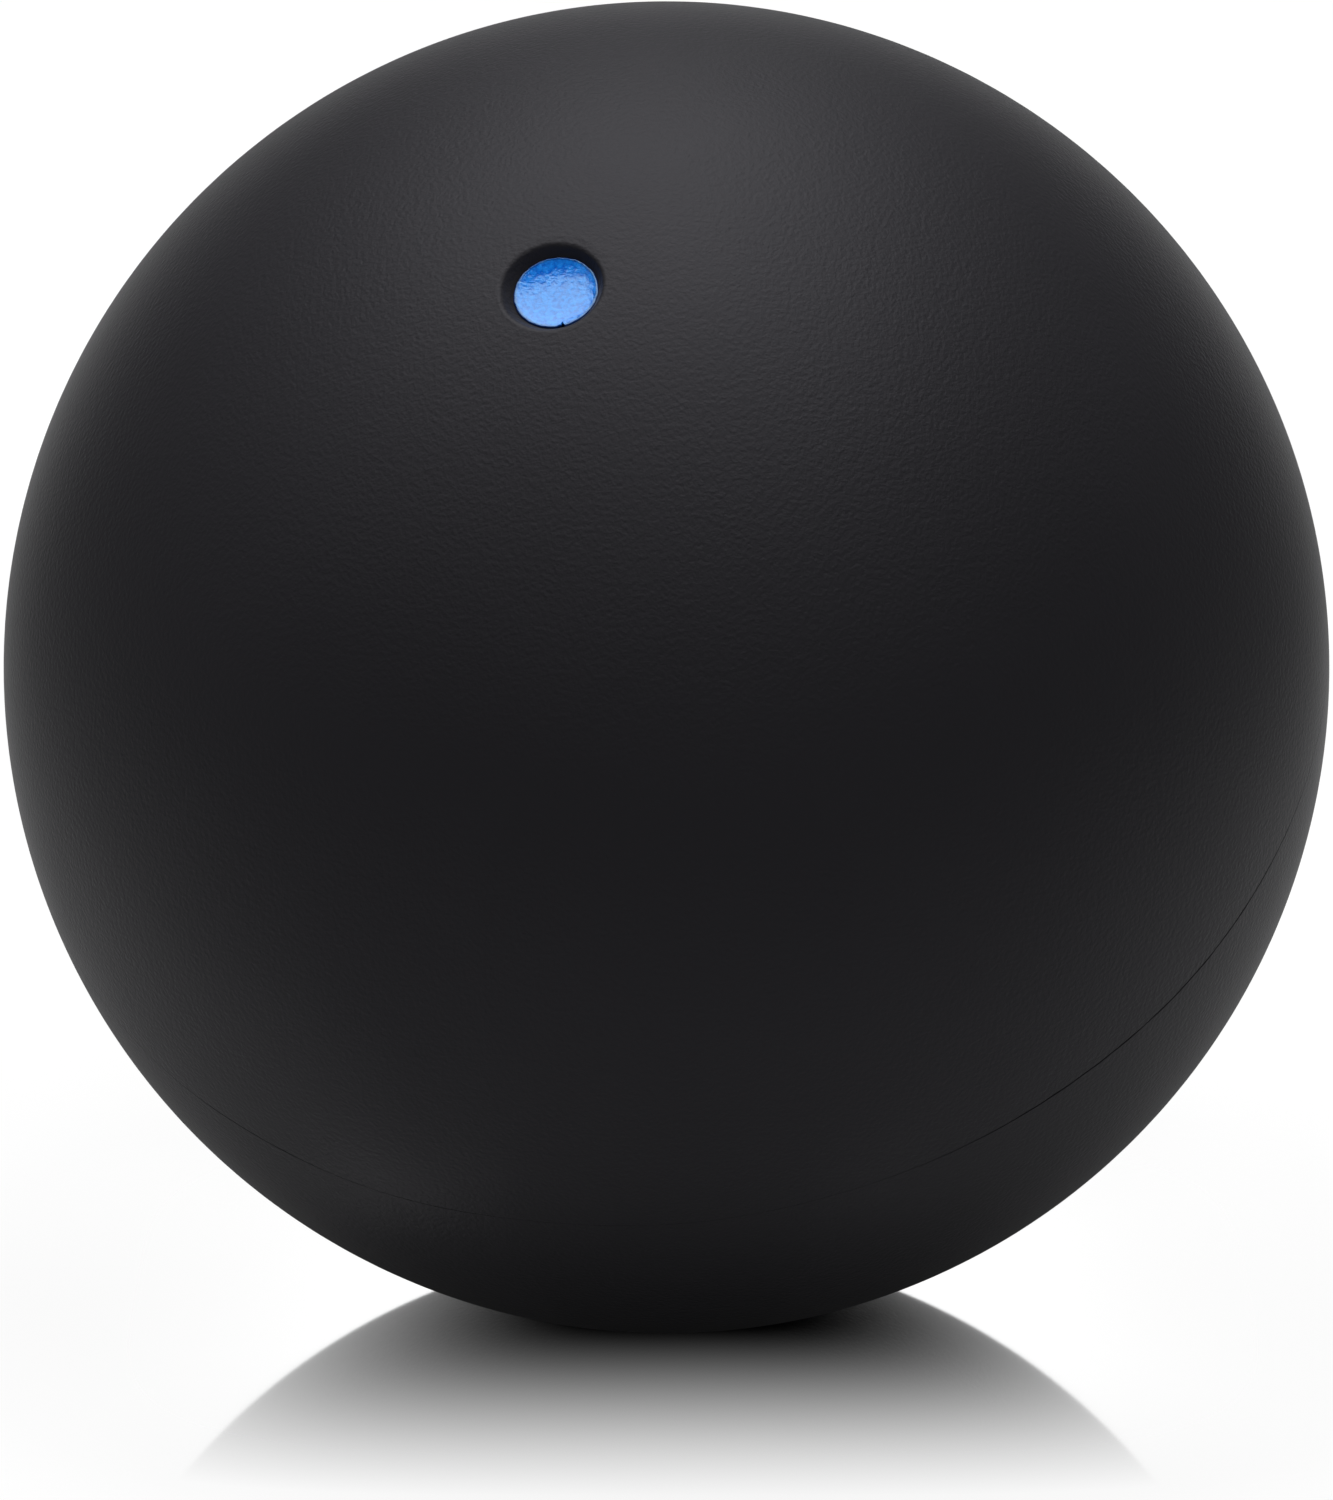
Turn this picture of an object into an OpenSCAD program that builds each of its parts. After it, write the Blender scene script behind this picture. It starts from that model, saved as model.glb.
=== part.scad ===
// Squash ball: two moulded rubber half shells, the cement that joins them and
// the painted dot in its well. The ball lies as it would on a court floor, with
// its centre at the origin, +Z up and the dot turned towards -Y and up.

/* [Ball] */
// Outside diameter of the ball
ball_d = 40; // [39:0.1:45]
// Thickness of the moulded rubber wall
wall = 5; // [4:0.1:6]

/* [Seam] */
// Thickness of the cured cement between the two halves
bond_t = 0.06; // [0.04:0.01:0.2]
// Depth of the cement's outer edge below the ball's surface
seam_depth = 0.05; // [0.03:0.01:0.15]
// Radius of the bead of cement squeezed out on the inside
bead_r = 0.5; // [0.3:0.05:1]

/* [Dot] */
// Diameter of the dot's well at the level of the ball's surface
well_mouth_d = 3.1; // [2.7:0.05:4]
// Diameter of the well's floor
well_floor_d = 2.3; // [1.9:0.05:2.6]
// Depth of the well's floor below the ball's surface
well_depth = 0.5; // [0.35:0.05:0.8]
// Thickness of the paint on the well's floor
paint_t = 0.15; // [0.1:0.01:0.25]
// Clearance between the paint and the well's wall
paint_gap = 0.03; // [0.02:0.01:0.1]
// Distance along the surface from the moulding axis to the dot's middle
dot_offset = 1.4; // [0:0.1:4]

/* [Lie] */
// Lean of the moulding axis from upright, towards -Y
axis_lean = 37.2; // [0:0.1:90]
// Turn of the leaning axis about +Z
axis_turn = -12; // [-180:1:180]
// Turn of the dot's offset about the moulding axis
dot_turn = -19; // [-180:1:180]

/* [Hidden] */
$fn = 96;

ball_r = ball_d / 2;
bore_r = ball_r - wall;
well_floor_r = well_floor_d / 2;
// How far the well's wall flares for each millimetre of height
well_flare = (well_mouth_d - well_floor_d) / 2 / well_depth;
dot_angle = dot_offset / ball_r * 180 / PI;
// How far each cut runs past the surface that it cuts
overrun = 1;

rubber = "#2b2b2d";
cured_cement = "#1b1b1c";
dot_blue = "#4f8fee";

// Places its children in the ball's own axes, with the moulding axis along +Z
module along_moulding_axis() {
    rotate([0, 0, axis_turn]) rotate([axis_lean, 0, 0]) children();
}

// Places its children with +Z out through the middle of the dot
module along_dot_axis() {
    along_moulding_axis() rotate([0, 0, dot_turn]) rotate([dot_angle, 0, 0]) children();
}

// A moulded half of the hollow ball, its ground edge half the cement's thickness from the middle plane
module half_shell() {
    difference() {
        sphere(r = ball_r);
        sphere(r = bore_r);
        translate([0, 0, bond_t / 2 - ball_r - overrun])
            cylinder(r = ball_r + overrun, h = ball_r + overrun);
    }
}

// The well's space, a shallow cone that opens outwards
module dot_well() {
    height = well_depth + overrun;
    translate([0, 0, ball_r - well_depth])
        cylinder(r1 = well_floor_r, r2 = well_floor_r + well_flare * height, h = height);
}

// Upper half, with the well for the dot
module dot_half_shell() {
    color(rubber) difference() {
        along_moulding_axis() half_shell();
        along_dot_axis() dot_well();
    }
}

// Lower half, plain all over
module plain_half_shell() {
    color(rubber) along_moulding_axis() mirror([0, 0, 1]) half_shell();
}

// Cured cement: a thin ring between the ground edges, and the bead squeezed out on the inside
module seam_bond() {
    ring_inner_r = bore_r - bead_r / 2;
    color(cured_cement) along_moulding_axis() rotate_extrude() {
        translate([ring_inner_r, -bond_t / 2])
            square([ball_r - seam_depth - ring_inner_r, bond_t]);
        intersection() {
            translate([bore_r, 0]) circle(r = bead_r);
            circle(r = bore_r);
        }
    }
}

// Paint on the well's floor, with an edge that follows the well's wall
module dot_paint() {
    paint_r = well_floor_r - paint_gap;
    color(dot_blue) along_dot_axis() translate([0, 0, ball_r - well_depth])
        cylinder(r1 = paint_r, r2 = paint_r + well_flare * paint_t, h = paint_t);
}

dot_half_shell();
plain_half_shell();
seam_bond();
dot_paint();
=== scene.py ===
import math
import random

import bmesh
import bpy
import numpy as np
from mathutils import Matrix, Vector


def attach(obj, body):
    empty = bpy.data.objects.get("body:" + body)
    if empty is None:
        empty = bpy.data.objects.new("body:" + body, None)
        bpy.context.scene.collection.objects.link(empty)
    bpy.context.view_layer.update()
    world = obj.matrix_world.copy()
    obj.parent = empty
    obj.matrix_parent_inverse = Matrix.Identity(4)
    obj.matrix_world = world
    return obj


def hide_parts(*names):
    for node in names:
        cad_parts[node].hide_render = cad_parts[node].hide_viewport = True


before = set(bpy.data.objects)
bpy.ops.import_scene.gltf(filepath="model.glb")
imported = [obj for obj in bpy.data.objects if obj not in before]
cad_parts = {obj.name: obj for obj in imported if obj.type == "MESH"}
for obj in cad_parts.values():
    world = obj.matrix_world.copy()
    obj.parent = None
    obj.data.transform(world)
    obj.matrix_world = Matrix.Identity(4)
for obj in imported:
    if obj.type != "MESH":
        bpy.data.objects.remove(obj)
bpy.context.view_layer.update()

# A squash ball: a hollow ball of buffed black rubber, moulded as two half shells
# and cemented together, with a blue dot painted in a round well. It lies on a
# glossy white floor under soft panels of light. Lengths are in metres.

MM = 0.001

# The ball's sizes and lie, as the part's source has them
BALL_R = 20 * MM
WALL = 5 * MM
BOND_T = 0.06 * MM
SEAM_DEPTH = 0.05 * MM
BEAD_R = 0.5 * MM
PAINT_GAP = 0.03 * MM
DOT_OFFSET = 1.4 * MM
AXIS_LEAN = math.radians(37.2)
AXIS_TURN = math.radians(-12)
DOT_TURN = math.radians(-19)

BORE_R = BALL_R - WALL
DOT_ANGLE = DOT_OFFSET / BALL_R
# Turns the ball's own axes, where the moulding axis is +Z, to how the ball lies
LIE = Matrix.Rotation(AXIS_TURN, 3, "Z") @ Matrix.Rotation(AXIS_LEAN, 3, "X")

# How much smaller the ball's radius is at its sides than at its top
OUT_OF_ROUND = 0.1 * MM
# A wavy line is a sum of sines, each with at least this share of the full size
LEAST_SHARE = 0.4
# The joint's line leans, wanders slowly and kinks quickly. It is flat from SEAM_BLEND inwards.
SEAM_TILT = 0.1 * MM
SEAM_TILT_TURN = math.radians(-62)
SEAM_WANDER = 0.05 * MM
SEAM_WANDER_COUNTS = range(3, 16)
SEAM_KINK = 0.008 * MM
SEAM_KINK_COUNTS = range(60, 150, 7)
SEAM_BLEND = 0.8 * MM
# Where the joint gapes: each place's middle and half width in degrees, and its share of the full gape
SEAM_GAPES = ((-33, 29, 1.0), (-118, 9, 0.5), (48, 40, 0.7), (146, 25, 0.5))
# How steeply a gape sets in, and how uneven it is
GAPE_ONSET = 1.6
GAPE_WAVE = 0.3
GAPE_COUNTS = range(40, 130, 9)
# The joint's half width, its lips' radius and its cement's depth, each where shut and where gaping
SEAM_HALF_GAP = (0.004 * MM, 0.018 * MM)
SEAM_LIP_R = (0.008 * MM, 0.025 * MM)
CEMENT_DEPTH = (0.008 * MM, SEAM_DEPTH)
# How far the bead's arc runs to each side of its innermost line
BEAD_SWEEP = math.radians(85)
# The well's wavy wall and rounded mouth, a little narrower, steeper and deeper than in the part's source
WELL_MOUTH_R = 1.52 * MM
WELL_FLARE = 0.72
WELL_DEPTH = 0.56 * MM
WELL_EDGE_R = 0.18 * MM
WELL_WAVE = 0.008 * MM
WELL_COUNTS = range(2, 12)
# How far the well's mouth sits to one side of its floor
WELL_SLIP = (-0.07 * MM, -0.045 * MM)
# The paint climbs the well's wall: the depth of its edge, and how far its middle dips below that
PAINT_EDGE_DEPTH = 0.36 * MM
PAINT_DIP = 0.12 * MM
# The paint rises from its middle with this power of the distance
PAINT_CURL = 3
PAINT_EDGE_R = 0.05 * MM
PAINT_WAVE = 0.01 * MM
PAINT_COUNTS = range(2, 30)
# Chips in the paint's edge: each one's middle and half width in degrees, and how far it reaches in
PAINT_CHIPS = ((-71, 2.8, 0.15 * MM), (-76, 3, 0.05 * MM))
CHIP_ONSET = 1.5

# Edges that turn by more than this are creases
CREASE_ANGLE = math.radians(50)
# How finely the meshes are divided
SHELL_AROUND = 600
OUTER_RINGS = 88
INNER_RINGS = 16
JOINT_RINGS = 5
LIP_RINGS = 4
WALL_RINGS = 6
EDGE_ARC_RINGS = 8
PAINT_AROUND = 480
PAINT_RINGS = 44
EDGE_RINGS = 6
BEAD_RINGS = 10
WELL_FLOOR_SHARES = (0.1, 0.5, 0.8, 0.95)
# The plain half's first ring is small: its angle from the moulding axis
FIRST_POLAR = math.pi / 8 / OUTER_RINGS


def circle_angles(count):
    return np.arange(count) * (2 * math.pi / count)


def waves(angle, counts, size, seed):
    """A closed wavy line round a circle: a sine for each count, with seeded sizes and phases."""
    draw = random.Random(seed)
    total = np.zeros_like(angle)
    for count in counts:
        total += draw.uniform(LEAST_SHARE, 1) * np.sin(count * angle + draw.uniform(0, 2 * math.pi))
    return size * total / math.sqrt(len(counts))


def smooth_step(x):
    x = np.clip(x, 0, 1)
    return x * x * (3 - 2 * x)


def tilted(points, share):
    """Turns points from the moulding axis towards the dot, by a share of the dot's angle."""
    turn = (
        Matrix.Rotation(DOT_TURN, 3, "Z")
        @ Matrix.Rotation(share * DOT_ANGLE, 3, "X")
        @ Matrix.Rotation(-DOT_TURN, 3, "Z")
    )
    return points @ np.array(turn).T


def laid(points):
    """Turns points from the ball's own axes to the row's axes."""
    return points @ np.array(LIE).T


def outer_radius(directions):
    """The ball's outer radius along unit vectors in its own axes. It is a little taller than wide."""
    upright = laid(directions)[:, 2]
    return BALL_R - OUT_OF_ROUND * (1 - upright**2)


def ring(angle, radius, height):
    """Points round the Z axis. radius and height are numbers, or one number for each point."""
    radius = np.broadcast_to(radius, angle.shape)
    height = np.broadcast_to(height, angle.shape)
    return np.stack([radius * np.cos(angle), radius * np.sin(angle), height], 1)


def joint_middle(angle):
    """Height of the joint line's middle above the moulding plane, round the ball."""
    tilt = SEAM_TILT * np.cos(angle - SEAM_TILT_TURN)
    slow = waves(angle, SEAM_WANDER_COUNTS, SEAM_WANDER, seed=4)
    quick = waves(angle, SEAM_KINK_COUNTS, SEAM_KINK, seed=9)
    return tilt + slow + quick


def gaping(angle, shut_and_open):
    """One of the joint's sizes, round the ball: from its shut value to its open one at the gapes."""
    shut, wide_open = shut_and_open
    share = np.zeros_like(angle)
    for middle, spread, most in SEAM_GAPES:
        away = (np.degrees(angle) - middle + 180) % 360 - 180
        place_share = smooth_step(GAPE_ONSET * (1 - np.abs(away) / spread))
        share = np.maximum(share, most * place_share)
    share = share * (1 + waves(angle, GAPE_COUNTS, GAPE_WAVE, seed=21))
    return shut + (wide_open - shut) * share


def new_piece(name, points, faces, node, material):
    """A closed piece that rides on the ball, stands for a CAD node and has one material."""
    mesh = bpy.data.meshes.new(name)
    mesh.from_pydata(laid(points).tolist(), [], faces)
    shape = bmesh.new()
    shape.from_mesh(mesh)
    bmesh.ops.recalc_face_normals(shape, faces=shape.faces)
    shape.to_mesh(mesh)
    shape.free()
    mesh.shade_smooth()
    mesh.set_sharp_from_angle(angle=CREASE_ANGLE)
    mesh.materials.append(material)
    piece = bpy.data.objects.new(name, mesh)
    bpy.context.scene.collection.objects.link(piece)
    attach(piece, "root")
    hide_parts(node)
    return piece


def ring_faces(rings, around, looped=False):
    """Four-sided faces from each ring to the next, and from the last to the first if looped."""
    here = np.arange(around)
    after = (here + 1) % around
    faces = []
    for i in range(rings if looped else rings - 1):
        a = i * around
        b = (i + 1) % rings * around
        faces.append(np.stack([a + here, a + after, b + after, b + here], 1))
    return np.concatenate(faces).tolist()


def closed_skin(rings):
    """Points and faces of a skin of rings, closed at each end by a fan to a middle point."""
    around = len(rings[0])
    faces = ring_faces(len(rings), around)
    points = np.concatenate(rings + [rings[0].mean(0)[None], rings[-1].mean(0)[None]])
    first_tip = len(rings) * around
    last_base = first_tip - around
    for j in range(around):
        k = (j + 1) % around
        faces.append([first_tip, k, j])
        faces.append([first_tip + 1, last_base + j, last_base + k])
    return points, faces


def well_rings(angle):
    """The dot's well, from the middle of its floor up its flared wall and over its rounded mouth."""
    top = BALL_R - OUT_OF_ROUND / 2
    floor_z = top - WELL_DEPTH
    floor_r = WELL_MOUTH_R - WELL_FLARE * WELL_DEPTH + waves(angle, WELL_COUNTS, WELL_WAVE, seed=33)
    slant = math.atan(WELL_FLARE)
    up_wall = np.array([math.sin(slant), math.cos(slant)])
    # The mouth's arc touches both the wall and the ball, so its middle is its radius away from each
    middle_r = floor_r + WELL_EDGE_R * math.cos(slant)
    middle_z = floor_z - WELL_EDGE_R * math.sin(slant)
    along = middle_r * up_wall[0] + middle_z * up_wall[1]
    climb = np.sqrt(along**2 - middle_r**2 - middle_z**2 + (top - WELL_EDGE_R) ** 2) - along
    arc_r = middle_r + climb * up_wall[0]
    arc_z = middle_z + climb * up_wall[1]
    rings = [ring(angle, share * floor_r, floor_z) for share in WELL_FLOOR_SHARES]
    for i in range(WALL_RINGS):
        height = i / WALL_RINGS * climb
        rings.append(ring(angle, floor_r + height * up_wall[0], floor_z + height * up_wall[1]))
    first = math.pi - slant
    last = np.arctan2(arc_z, arc_r)
    for i in range(EDGE_ARC_RINGS + 1):
        sweep = first + i / EDGE_ARC_RINGS * (last - first)
        edge_r = arc_r + WELL_EDGE_R * np.cos(sweep)
        rings.append(ring(angle, edge_r, arc_z + WELL_EDGE_R * np.sin(sweep)))
    for points in rings:
        points[:, :2] += np.outer((points[:, 2] - floor_z) / WELL_DEPTH, WELL_SLIP)
    return [tilted(points, 1) for points in rings]


def outer_rings(angle, side, end_z):
    """The outside of a half, from the well's mouth or a small first ring down to its lip."""
    level = outer_radius(ring(angle, 1, 0) * np.array([1, 1, side]))
    start_polar = (WELL_MOUTH_R + WELL_EDGE_R) / BALL_R if side > 0 else FIRST_POLAR
    end_polar = np.arccos(end_z / level)
    rings = []
    for i in range(OUTER_RINGS + 1):
        share = (1 - math.cos(math.pi * i / OUTER_RINGS)) / 2
        polar = start_polar + share * (end_polar - start_polar)
        directions = ring(angle, np.sin(polar), np.cos(polar))
        if side > 0:
            directions = tilted(directions, (1 - share) ** 2)
        radius = outer_radius(directions * np.array([1, 1, side]))
        rings.append(directions * radius[:, None])
    return rings


def lip_rings(angle, lip_r, lip_z, lip_size):
    """A quarter round from the outside into the joint."""
    rings = []
    for i in range(1, LIP_RINGS + 1):
        sweep = i / LIP_RINGS * math.pi / 2
        edge_r = lip_r + lip_size * math.cos(sweep)
        rings.append(ring(angle, edge_r, lip_z - lip_size * math.sin(sweep)))
    return rings


def joint_rings(angle, lip_r, outer_joint):
    """The ground edge of a half, from the joint's wavy line in to the flat plane."""
    rings = []
    for i in range(1, JOINT_RINGS + 1):
        inward = SEAM_BLEND * i / JOINT_RINGS
        height = outer_joint + (BOND_T / 2 - outer_joint) * smooth_step(inward / SEAM_BLEND)
        rings.append(ring(angle, lip_r - inward, height))
    return rings


def bore_rings(angle):
    """The inside of a half, from its ground edge to near its middle."""
    edge_polar = math.acos(BOND_T / 2 / BORE_R)
    rings = []
    for i in range(INNER_RINGS + 1):
        polar = edge_polar * (1 - i / (INNER_RINGS + 1))
        rings.append(ring(angle, BORE_R * math.sin(polar), BORE_R * math.cos(polar)))
    return rings


def half_shell(name, side, node, material):
    """A half of the ball. side is 1 for the half with the dot, and -1 for the plain one."""
    angle = circle_angles(SHELL_AROUND)
    lip_size = gaping(angle, SEAM_LIP_R)
    outer_joint = side * joint_middle(angle) + gaping(angle, SEAM_HALF_GAP)
    lip_z = outer_joint + lip_size
    rings = well_rings(angle) if side > 0 else []
    rings += outer_rings(angle, side, lip_z)
    lip_r = np.hypot(rings[-1][:, 0], rings[-1][:, 1]) - lip_size
    rings += lip_rings(angle, lip_r, lip_z, lip_size)
    rings += joint_rings(angle, lip_r, outer_joint)
    rings += bore_rings(angle)
    points, faces = closed_skin(rings)
    points = points * np.array([1, 1, side])
    return new_piece(name, points, faces, node, material)


def seam_cement(name, node, material):
    """The cured cement: a thin ring that follows the joint, with the bead squeezed out on the inside."""
    angle = circle_angles(SHELL_AROUND)
    middle = joint_middle(angle)
    half_gap = gaping(angle, SEAM_HALF_GAP)
    level = outer_radius(ring(angle, 1, 0))
    outer_r = level - gaping(angle, CEMENT_DEPTH)
    inner_r = level - SEAM_BLEND
    rings = [ring(angle, outer_r, middle + half_gap), ring(angle, inner_r, BOND_T / 2)]
    rings.append(ring(angle, BORE_R, BOND_T / 2))
    for i in range(BEAD_RINGS + 1):
        sweep = BEAD_SWEEP * (1 - 2 * i / BEAD_RINGS)
        rings.append(ring(angle, BORE_R - BEAD_R * math.cos(sweep), BEAD_R * math.sin(sweep)))
    rings.append(ring(angle, BORE_R, -BOND_T / 2))
    rings += [ring(angle, inner_r, -BOND_T / 2), ring(angle, outer_r, middle - half_gap)]
    faces = ring_faces(len(rings), SHELL_AROUND, looped=True)
    return new_piece(name, np.concatenate(rings), faces, node, material)


def chipped(angle):
    """How far the paint's edge is chipped away, round the disc."""
    reach = np.zeros_like(angle)
    for middle, spread, deep in PAINT_CHIPS:
        away = (np.degrees(angle) - middle + 180) % 360 - 180
        reach = np.maximum(reach, deep * smooth_step(CHIP_ONSET * (1 - np.abs(away) / spread)))
    return reach


def dot_disc(name, node, material):
    """The paint: a thin dished disc with a chipped edge, whose outer side follows the well's wall."""
    angle = circle_angles(PAINT_AROUND)
    top = BALL_R - OUT_OF_ROUND / 2
    floor_z = top - WELL_DEPTH
    edge_z = top - PAINT_EDGE_DEPTH
    whole_r = WELL_MOUTH_R - WELL_FLARE * PAINT_EDGE_DEPTH - PAINT_GAP
    full_r = whole_r + waves(angle, PAINT_COUNTS, PAINT_WAVE, seed=61) - PAINT_WAVE - chipped(angle)
    rings = []
    for i in range(1, PAINT_RINGS + 1):
        dish_r = i / PAINT_RINGS * (full_r - PAINT_EDGE_R)
        rings.append(ring(angle, dish_r, edge_z - PAINT_DIP * (1 - (dish_r / whole_r) ** PAINT_CURL)))
    last_z = rings[-1][:, 2]
    for i in range(1, EDGE_RINGS + 1):
        sweep = i / EDGE_RINGS * math.pi / 2
        edge_r = full_r - PAINT_EDGE_R * (1 - math.sin(sweep))
        rings.append(ring(angle, edge_r, last_z - PAINT_EDGE_R * (1 - math.cos(sweep))))
    foot_r = full_r - WELL_FLARE * (last_z - floor_z)
    rings.append(ring(angle, foot_r, floor_z))
    rings.append(ring(angle, foot_r / 2, floor_z))
    points, faces = closed_skin(rings)
    return new_piece(name, tilted(points, 1), faces, node, material)


# Materials. Colours are linear, and a noise's scale is in features for each metre.

# What a noise mostly keeps to, how many finer layers it has, and each one's share of the one before
NOISE_RANGE = (0.3, 0.7)
NOISE_DETAIL = 3
NOISE_DIMMING = 0.5
# The rubber's faint patches of colour, its broad unevenness and its ground grain
RUBBER_DARK = (0.0167, 0.0162, 0.0187)
RUBBER_PALE = (0.0190, 0.0185, 0.0214)
RUBBER_ROUGH = (0.53, 0.57)
RUBBER_SPECULAR = 0.2
RUBBER_SHINE = (0.93, 0.91, 1, 1)
RUBBER_SHEEN = 0.15
RUBBER_SHEEN_ROUGH = 0.25
PATCH_SCALE = 120
BROAD_SCALE = 900
BROAD_DEPTH = 0.006 * MM
GRAIN_SCALE = 7000
GRAIN_DETAIL = 2
GRAIN_DIMMING = 0.55
GRAIN_DEPTH = 0.024 * MM
# The cement and its streaks
CEMENT_DARK = (0.004, 0.004, 0.0045)
CEMENT_PALE = (0.01, 0.01, 0.011)
CEMENT_ROUGH = (0.45, 0.65)
STREAK_SCALE = 3000
STREAK_DEPTH = 0.01 * MM
# The paint and its fine mottle, which is both colour and pebbled skin
PAINT_DARK = (0, 0.115, 0.61)
PAINT_PALE = (0.006, 0.24, 0.87)
PAINT_ROUGH = (0.1, 0.18)
PAINT_SPECULAR = 0.65
PAINT_SHINE = (0.68, 1, 1, 1)
MOTTLE_RANGE = (0.35, 0.65)
MOTTLE_SCALE = 7500
MOTTLE_DETAIL = 2
MOTTLE_DIMMING = 0.6
MOTTLE_DEPTH = 0.012 * MM
# The paint is darker round its edge, from this far out: painted shade next to the well's wall
PAINT_EDGE_SHADE = (0, 0.018, 0.13)
PAINT_EDGE_SHADE_R = 1.09 * MM
PAINT_EDGE_SHADE_WIDTH = 0.12 * MM


def new_material(name):
    material = bpy.data.materials.new(name)
    material.use_nodes = True
    tree = material.node_tree
    return material, tree, tree.nodes["Principled BSDF"]


def put(tree, value, socket):
    """Gives a socket its value: another node's output, or a plain value."""
    if isinstance(value, bpy.types.NodeSocket):
        tree.links.new(value, socket)
    else:
        socket.default_value = value


def noise(tree, scale, detail=NOISE_DETAIL, dimming=NOISE_DIMMING):
    """A noise in the row's own metres."""
    place = tree.nodes.new("ShaderNodeTexCoord")
    texture = tree.nodes.new("ShaderNodeTexNoise")
    put(tree, place.outputs["Object"], texture.inputs["Vector"])
    put(tree, scale, texture.inputs["Scale"])
    put(tree, detail, texture.inputs["Detail"])
    put(tree, dimming, texture.inputs["Roughness"])
    return texture.outputs["Fac"]


def mapped(tree, value, low_high, to_low_high, way="LINEAR"):
    """value from one range spread over another."""
    node = tree.nodes.new("ShaderNodeMapRange")
    node.interpolation_type = way
    put(tree, value, node.inputs["Value"])
    put(tree, low_high[0], node.inputs["From Min"])
    put(tree, low_high[1], node.inputs["From Max"])
    put(tree, to_low_high[0], node.inputs["To Min"])
    put(tree, to_low_high[1], node.inputs["To Max"])
    return node.outputs["Result"]


def bump(tree, height, depth, below=None):
    """A bump of that depth in metres, over another bump's normal if one is given."""
    node = tree.nodes.new("ShaderNodeBump")
    put(tree, 1, node.inputs["Strength"])
    put(tree, depth, node.inputs["Distance"])
    put(tree, height, node.inputs["Height"])
    if below:
        put(tree, below, node.inputs["Normal"])
    return node.outputs["Normal"]


def blended(tree, share, colour_a, colour_b):
    """A mix of two colours. Each is three numbers or another node's output."""
    node = tree.nodes.new("ShaderNodeMix")
    node.data_type = "RGBA"
    put(tree, share, node.inputs["Factor"])
    for name, colour in (("A", colour_a), ("B", colour_b)):
        if isinstance(colour, tuple):
            colour = (*colour, 1)
        put(tree, colour, node.inputs[name])
    return node.outputs["Result"]


def computed(tree, operation, value_a, value_b=0):
    node = tree.nodes.new("ShaderNodeMath")
    node.operation = operation
    put(tree, value_a, node.inputs[0])
    put(tree, value_b, node.inputs[1])
    return node.outputs["Value"]


def vector_step(tree, operation, vector, other=(0, 0, 0)):
    node = tree.nodes.new("ShaderNodeVectorMath")
    node.operation = operation
    put(tree, vector, node.inputs[0])
    put(tree, other, node.inputs[1])
    return node.outputs["Value" if operation == "LENGTH" else "Vector"]


def rubber_material():
    """Matt black rubber, ground all over: a fine grain under faint, broad unevenness."""
    material, tree, shader = new_material("buffed_rubber")
    patches = noise(tree, PATCH_SCALE)
    grain = noise(tree, GRAIN_SCALE, GRAIN_DETAIL, GRAIN_DIMMING)
    put(tree, blended(tree, patches, RUBBER_DARK, RUBBER_PALE), shader.inputs["Base Color"])
    put(tree, mapped(tree, patches, NOISE_RANGE, RUBBER_ROUGH), shader.inputs["Roughness"])
    put(tree, RUBBER_SPECULAR, shader.inputs["Specular IOR Level"])
    put(tree, RUBBER_SHINE, shader.inputs["Specular Tint"])
    put(tree, RUBBER_SHEEN, shader.inputs["Sheen Weight"])
    put(tree, RUBBER_SHEEN_ROUGH, shader.inputs["Sheen Roughness"])
    broad = bump(tree, noise(tree, BROAD_SCALE), BROAD_DEPTH)
    put(tree, bump(tree, grain, GRAIN_DEPTH, broad), shader.inputs["Normal"])
    return material


def cement_material():
    """Cured black cement, a little shinier than the ground rubber."""
    material, tree, shader = new_material("cured_cement")
    streaks = noise(tree, STREAK_SCALE)
    put(tree, blended(tree, streaks, CEMENT_DARK, CEMENT_PALE), shader.inputs["Base Color"])
    put(tree, mapped(tree, streaks, NOISE_RANGE, CEMENT_ROUGH), shader.inputs["Roughness"])
    put(tree, bump(tree, streaks, STREAK_DEPTH), shader.inputs["Normal"])
    return material


def paint_material():
    """Blue paint with a fine pebbled skin that breaks up its shine, and painted shade that darkens it at
    its edge.
    """
    material, tree, shader = new_material("dot_paint")
    mottle = noise(tree, MOTTLE_SCALE, MOTTLE_DETAIL, MOTTLE_DIMMING)
    colour = blended(tree, mapped(tree, mottle, MOTTLE_RANGE, (0, 1)), PAINT_DARK, PAINT_PALE)
    # Painted shade: the paint's colour darkens towards its edge, next to the well's wall
    edge_shade_range = (PAINT_EDGE_SHADE_R, PAINT_EDGE_SHADE_R + PAINT_EDGE_SHADE_WIDTH)
    edge_shade = mapped(tree, from_dot_axis(tree), edge_shade_range, (0, 1), "SMOOTHSTEP")
    put(tree, blended(tree, edge_shade, colour, PAINT_EDGE_SHADE), shader.inputs["Base Color"])
    put(tree, mapped(tree, mottle, NOISE_RANGE, PAINT_ROUGH), shader.inputs["Roughness"])
    put(tree, PAINT_SPECULAR, shader.inputs["Specular IOR Level"])
    put(tree, PAINT_SHINE, shader.inputs["Specular Tint"])
    put(tree, bump(tree, mottle, MOTTLE_DEPTH), shader.inputs["Normal"])
    return material


def from_dot_axis(tree):
    """Distance from the line through the ball's centre and the dot's middle."""
    place = tree.nodes.new("ShaderNodeTexCoord")
    axis = tuple(laid(tilted(np.array([[0, 0, 1]]), 1))[0])
    across = vector_step(tree, "CROSS_PRODUCT", place.outputs["Object"], axis)
    return vector_step(tree, "LENGTH", across)


# The studio

FLOOR_SIZE = 6
# The floor's white, for the camera and for reflections, is its paint and its glow together
FLOOR_PAINT = (0.12, 0.12, 0.12, 1)
FLOOR_GLOW = 0.88
FLOOR_GLOSS_ROUGH = 0.05
# How much the floor's mirror sends back to the camera, and to reflections
MIRROR_SHOWN = (1, 1, 1)
MIRROR_REFLECTED = (0.6, 0.6, 0.6)
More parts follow.
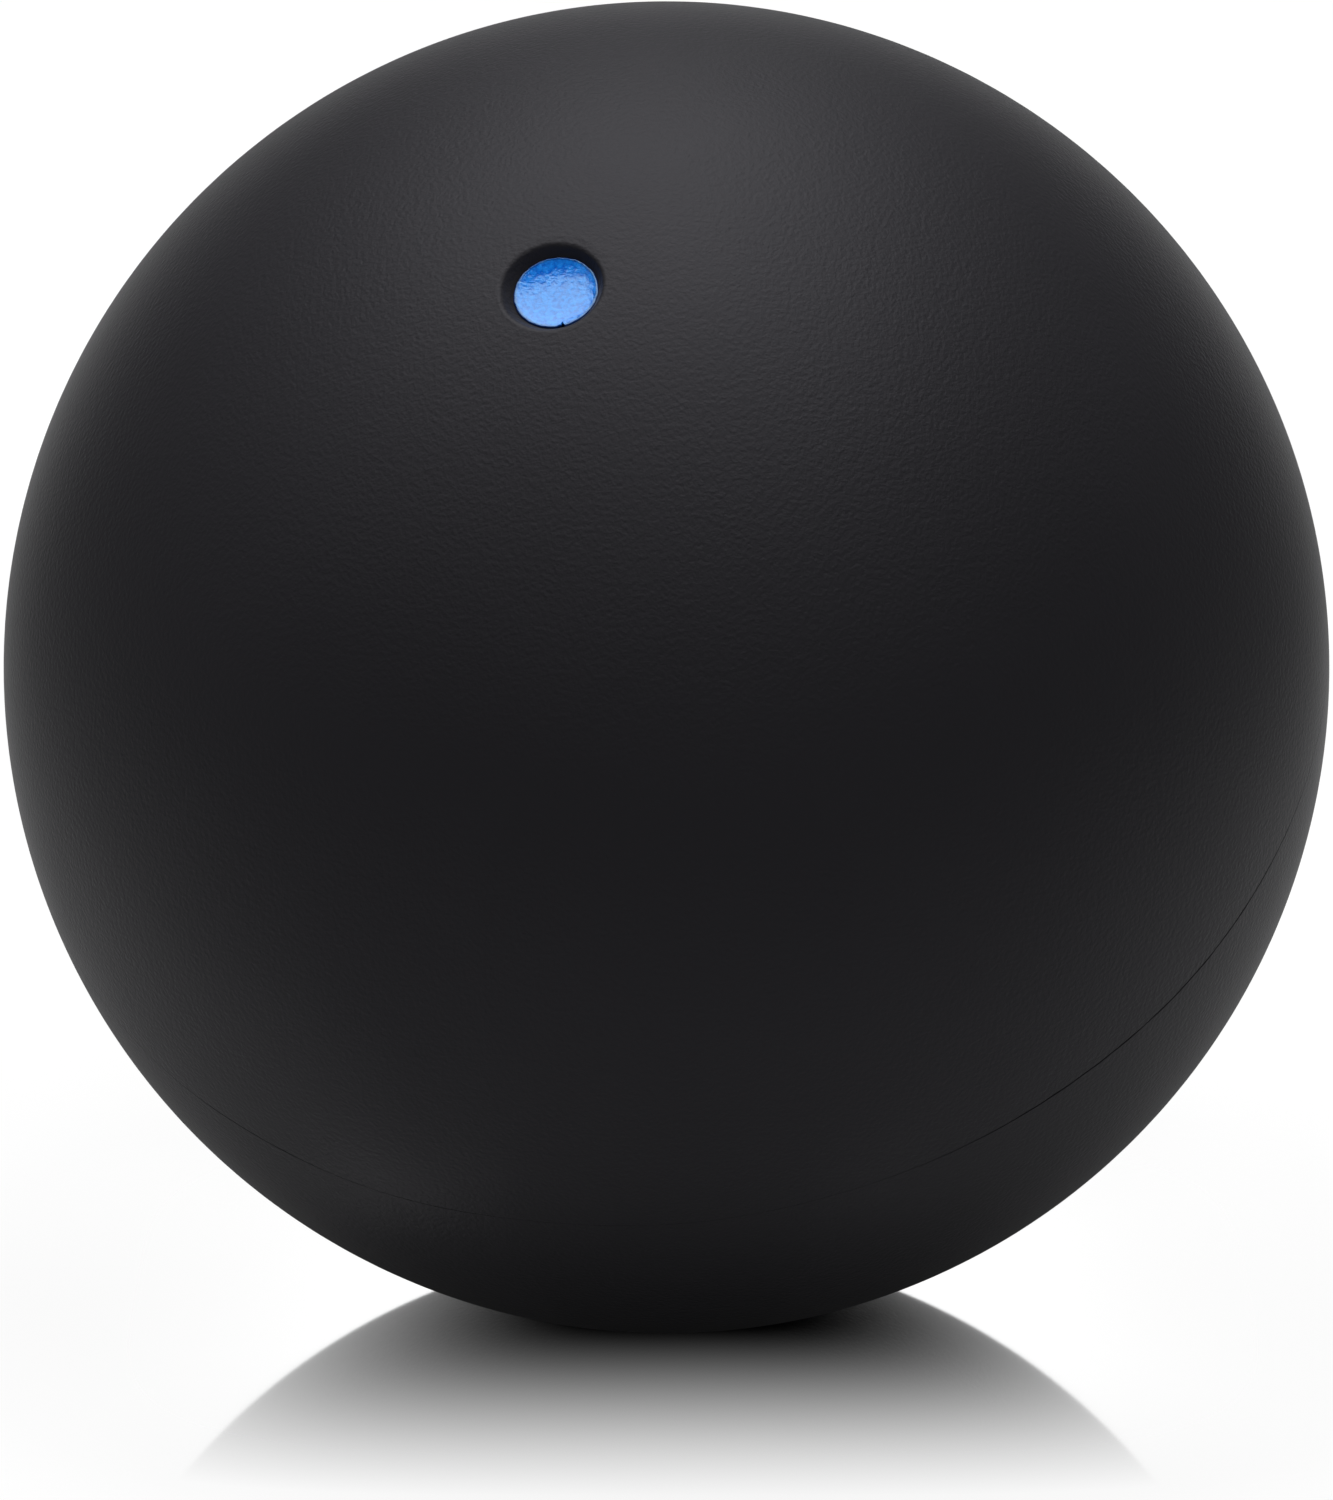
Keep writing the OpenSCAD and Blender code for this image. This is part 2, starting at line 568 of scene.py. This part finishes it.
# The floor's plain grey for all other rays, so that it throws little light on the ball
FLOOR_THROWN = (0.08, 0.08, 0.08, 1)
# Distances on the floor are measured from this far to the right of the contact
FADE_MIDDLE = 0.8 * MM
# The mirror image fades over this range of distances, and is gone where the white's share passes 1
FADE_RANGE = (3.1 * MM, 20.3 * MM)
FADE_MOST = 1.14
# How much of the way along each axis counts as distance for that fade
FADE_SHARES = (0.78, 1, 1)
# Reflections see the white glow as a painted pool of light round the ball: where it sets in, its most,
# where it weakens, and by how much
POOL_RANGE = (6.5 * MM, 37 * MM)
POOL_MOST = 0.7
POOL_LOSS_RANGE = (65 * MM, 120 * MM)
POOL_LOSS = 0.5
WORLD_COLOUR = (1, 1, 1, 1)
WORLD_STRENGTH = 0.06
# The soft panels: name, place, the point that it faces, width and length, and radiance.
# The dark strip in front of the key panel gives the paint its deep blue crescent.
PANELS = (
    ("key_panel", (-0.107, 0.063, 0.6), (-0.107, 0.063, 0), (0.52, 0.38), 4.75),
    ("back_panel", (0.02, 0.38, 0.6), (0.02, 0.38, 0), (0.42, 0.26), 3.15),
    ("right_panel", (0.192, -0.17, 0.6), (0.192, -0.17, 0), (0.28, 0.44), 3.45),
    ("left_panel", (-0.66, -0.27, 0.6), (-0.66, -0.27, 0), (0.26, 0.25), 3.5),
    ("front_panel", (0, -0.9, 0.6), (0, -0.9, 0), (1, 1), 0.5),
    ("low_card", (0, 1.6, 0.12), (0, 0, 0), (2, 0.22), 1.2),
    ("white_card", (0, 1.3, 0.479), (0, 0, -0.02), (0.5, 0.2), 1),
)
# The focal length and the frame's height in pixels of the photograph, and the sensor in millimetres
FOCAL_PIXELS = 7967
FRAME_HIGH_PIXELS = 1500
SENSOR = 36
# The nearest and furthest that the camera sees
CLIP_START = 0.01
CLIP_END = 100
# The camera's place is an angle above the level of the ball's centre, and it looks down by its pitch
CAMERA_DISTANCE = 240 * MM
CAMERA_ELEVATION = math.radians(16.74)
CAMERA_PITCH = math.radians(17.33)


def add_camera():
    """The photograph's camera, straight in front of the ball and a little above it."""
    data = bpy.data.cameras.new("camera")
    data.sensor_width = SENSOR
    data.lens = FOCAL_PIXELS / FRAME_HIGH_PIXELS * SENSOR
    data.clip_start = CLIP_START
    data.clip_end = CLIP_END
    camera = bpy.data.objects.new("camera", data)
    bpy.context.scene.collection.objects.link(camera)
    outwards = Vector((0, -math.cos(CAMERA_ELEVATION), math.sin(CAMERA_ELEVATION)))
    camera.location = CAMERA_DISTANCE * outwards
    camera.rotation_euler = (math.pi / 2 - CAMERA_PITCH, 0, 0)
    bpy.context.scene.camera = camera


def add_panel(name, place, faced, size, radiance):
    """A flat soft light at place that faces a point."""
    data = bpy.data.lights.new(name, "AREA")
    data.shape = "RECTANGLE"
    data.size, data.size_y = size
    data.energy = radiance * math.pi * data.size * data.size_y
    lamp = bpy.data.objects.new(name, data)
    bpy.context.scene.collection.objects.link(lamp)
    lamp.location = place
    lamp.rotation_euler = (Vector(faced) - Vector(place)).to_track_quat("-Z", "Y").to_euler()


def floor_material():
    """White gloss whose mirror image of the ball fades into plain white away from the contact.

    Reflections see that white glow as a painted pool of light round the ball, and all other rays see
    plain grey.
    """
    material, tree, thrown = new_material("white_gloss")
    put(tree, FLOOR_THROWN, thrown.inputs["Base Color"])
    put(tree, 1, thrown.inputs["Roughness"])
    ray = tree.nodes.new("ShaderNodeLightPath")
    of_camera = ray.outputs["Is Camera Ray"]
    of_mirror = computed(tree, "ADD", ray.outputs["Is Glossy Ray"], ray.outputs["Is Transmission Ray"])
    shown = computed(tree, "MULTIPLY", of_camera, shown_share(tree))
    reflected = computed(tree, "MULTIPLY", of_mirror, pool_share(tree))
    white_share = computed(tree, "ADD", shown, reflected)
    seen = picked(tree, white_share, floor_mirror(tree, of_camera), floor_white(tree))
    of_either = computed(tree, "ADD", of_camera, of_mirror)
    surface = picked(tree, of_either, thrown.outputs["BSDF"], seen)
    put(tree, surface, tree.nodes["Material Output"].inputs["Surface"])
    return material


def floor_white(tree):
    """Paint and glow that come to 1 together under the lamps."""
    paint = tree.nodes.new("ShaderNodeBsdfDiffuse")
    put(tree, FLOOR_PAINT, paint.inputs["Color"])
    glow = tree.nodes.new("ShaderNodeEmission")
    put(tree, FLOOR_GLOW, glow.inputs["Strength"])
    white = tree.nodes.new("ShaderNodeAddShader")
    put(tree, paint.outputs["BSDF"], white.inputs[0])
    put(tree, glow.outputs["Emission"], white.inputs[1])
    return white.outputs["Shader"]


def floor_mirror(tree, of_camera):
    """A slightly soft mirror, full for the camera and weaker for reflections."""
    gloss = tree.nodes.new("ShaderNodeBsdfGlossy")
    put(tree, blended(tree, of_camera, MIRROR_REFLECTED, MIRROR_SHOWN), gloss.inputs["Color"])
    put(tree, FLOOR_GLOSS_ROUGH, gloss.inputs["Roughness"])
    return gloss.outputs["BSDF"]


def shown_share(tree):
    """The white's share for the camera, by the distance along a rounded oblong round the contact."""
    counted = vector_step(tree, "MULTIPLY", from_contact(tree), FADE_SHARES)
    squared = vector_step(tree, "MULTIPLY", counted, counted)
    # The root of the squares' length is the fourth root of the sum of fourth powers
    distance = computed(tree, "SQRT", vector_step(tree, "LENGTH", squared))
    return mapped(tree, distance, FADE_RANGE, (0, FADE_MOST), "SMOOTHSTEP")


def pool_share(tree):
    """The white's share for reflections: a painted pool of glow round the ball that weakens far out."""
    distance = vector_step(tree, "LENGTH", from_contact(tree))
    pool = mapped(tree, distance, POOL_RANGE, (0, POOL_MOST), "SMOOTHSTEP")
    loss = mapped(tree, distance, POOL_LOSS_RANGE, (0, POOL_LOSS), "SMOOTHSTEP")
    return computed(tree, "SUBTRACT", pool, loss)


def from_contact(tree):
    """Place on the floor, measured from a point near where the ball touches it."""
    place = tree.nodes.new("ShaderNodeTexCoord")
    return vector_step(tree, "ADD", place.outputs["Object"], (-FADE_MIDDLE, 0, BALL_R))


def picked(tree, share, shader_a, shader_b):
    node = tree.nodes.new("ShaderNodeMixShader")
    put(tree, share, node.inputs["Fac"])
    put(tree, shader_a, node.inputs[1])
    put(tree, shader_b, node.inputs[2])
    return node.outputs["Shader"]


def add_floor():
    mesh = bpy.data.meshes.new("floor")
    half = FLOOR_SIZE / 2
    corners = [(x * half, y * half, -BALL_R) for x, y in ((-1, -1), (1, -1), (1, 1), (-1, 1))]
    mesh.from_pydata(corners, [], [(0, 1, 2, 3)])
    mesh.materials.append(floor_material())
    floor = bpy.data.objects.new("floor", mesh)
    bpy.context.scene.collection.objects.link(floor)


def add_world():
    world = bpy.data.worlds.new("world")
    bpy.context.scene.world = world
    world.use_nodes = True
    background = world.node_tree.nodes["Background"]
    put(world.node_tree, WORLD_COLOUR, background.inputs["Color"])
    put(world.node_tree, WORLD_STRENGTH, background.inputs["Strength"])


def main():
    rubber = rubber_material()
    half_shell("dot_half", 1, "dot_half_shell", rubber)
    half_shell("plain_half", -1, "plain_half_shell", rubber)
    seam_cement("cement_ring", "seam_bond", cement_material())
    dot_disc("blue_dot", "dot_paint", paint_material())
    add_camera()
    add_floor()
    add_world()
    for panel in PANELS:
        add_panel(*panel)
    bpy.context.scene.view_settings.view_transform = "Standard"


main()
